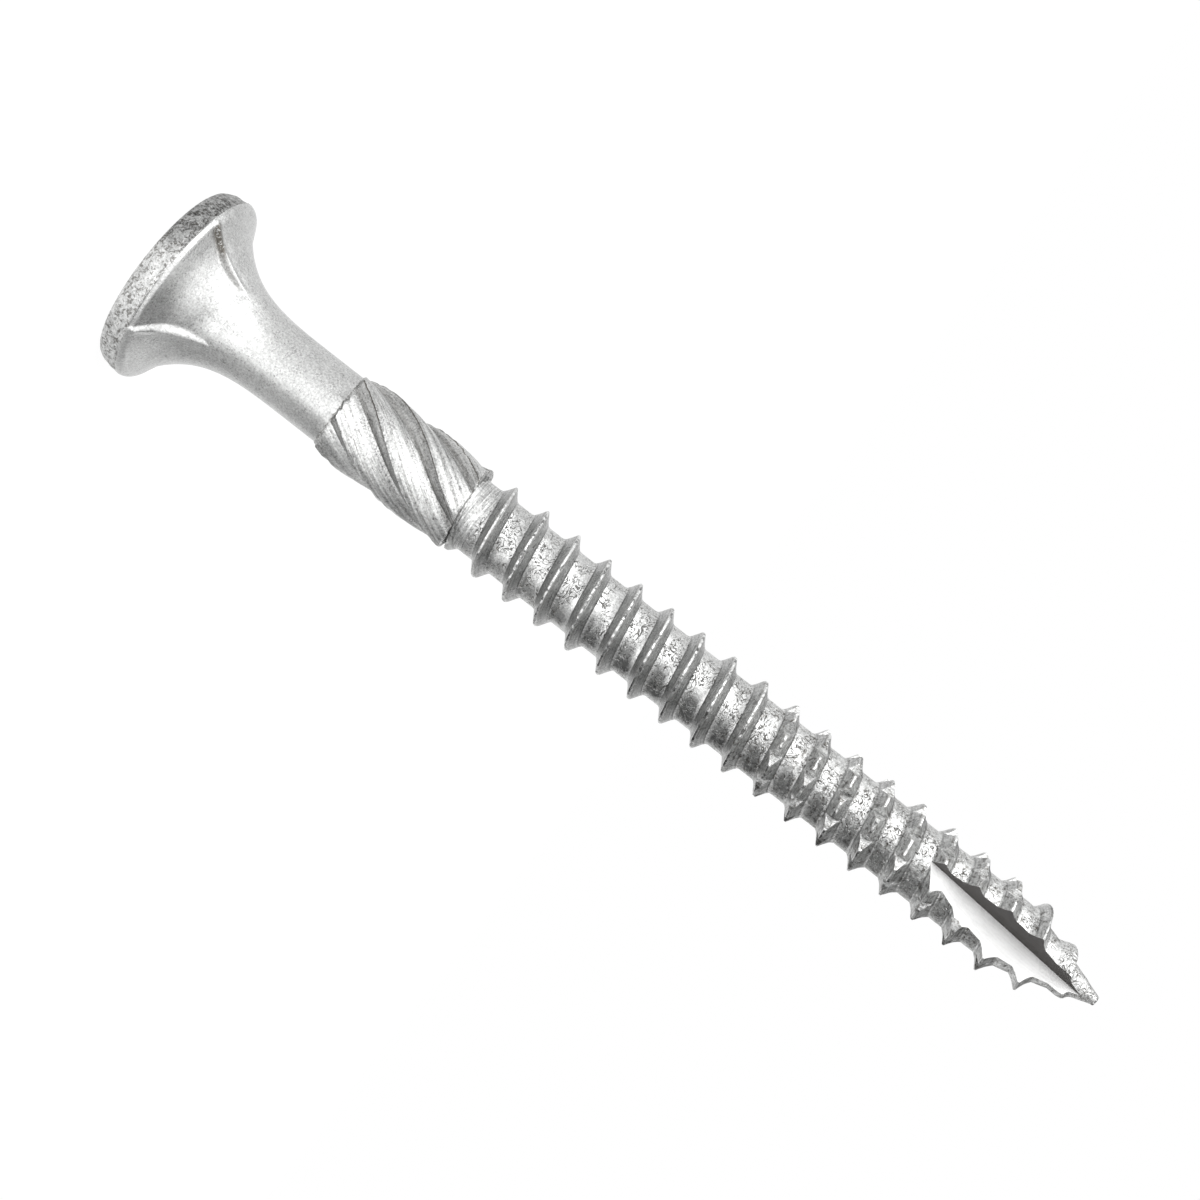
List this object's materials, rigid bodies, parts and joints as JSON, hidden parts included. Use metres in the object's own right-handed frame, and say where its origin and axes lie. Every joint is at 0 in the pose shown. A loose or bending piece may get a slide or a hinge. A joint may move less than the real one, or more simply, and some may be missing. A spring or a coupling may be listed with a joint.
{
  "type": "batten screw",
  "caption": "Galvanised bugle-head batten screw with nibs under the head, a helically fluted shank, a serrated coarse wood thread and a slotted self-drilling point, driven by a hex socket",
  "frame": {"origin": "centre of the flat of the head, on which the screw stands", "axes": "+Z along the screw's axis from the head to the point; -Y is the side of the slot in the point; +X completes the right-handed frame"},
  "size_m": [0.0138, 0.0138, 0.075],
  "materials": {
    "galvanised_steel": "mottled zinc coat, satin with matt grey patches"
  },
  "bodies": {
    "root": {"batten_screw": "galvanised_steel"}
  },
  "joints": []
}
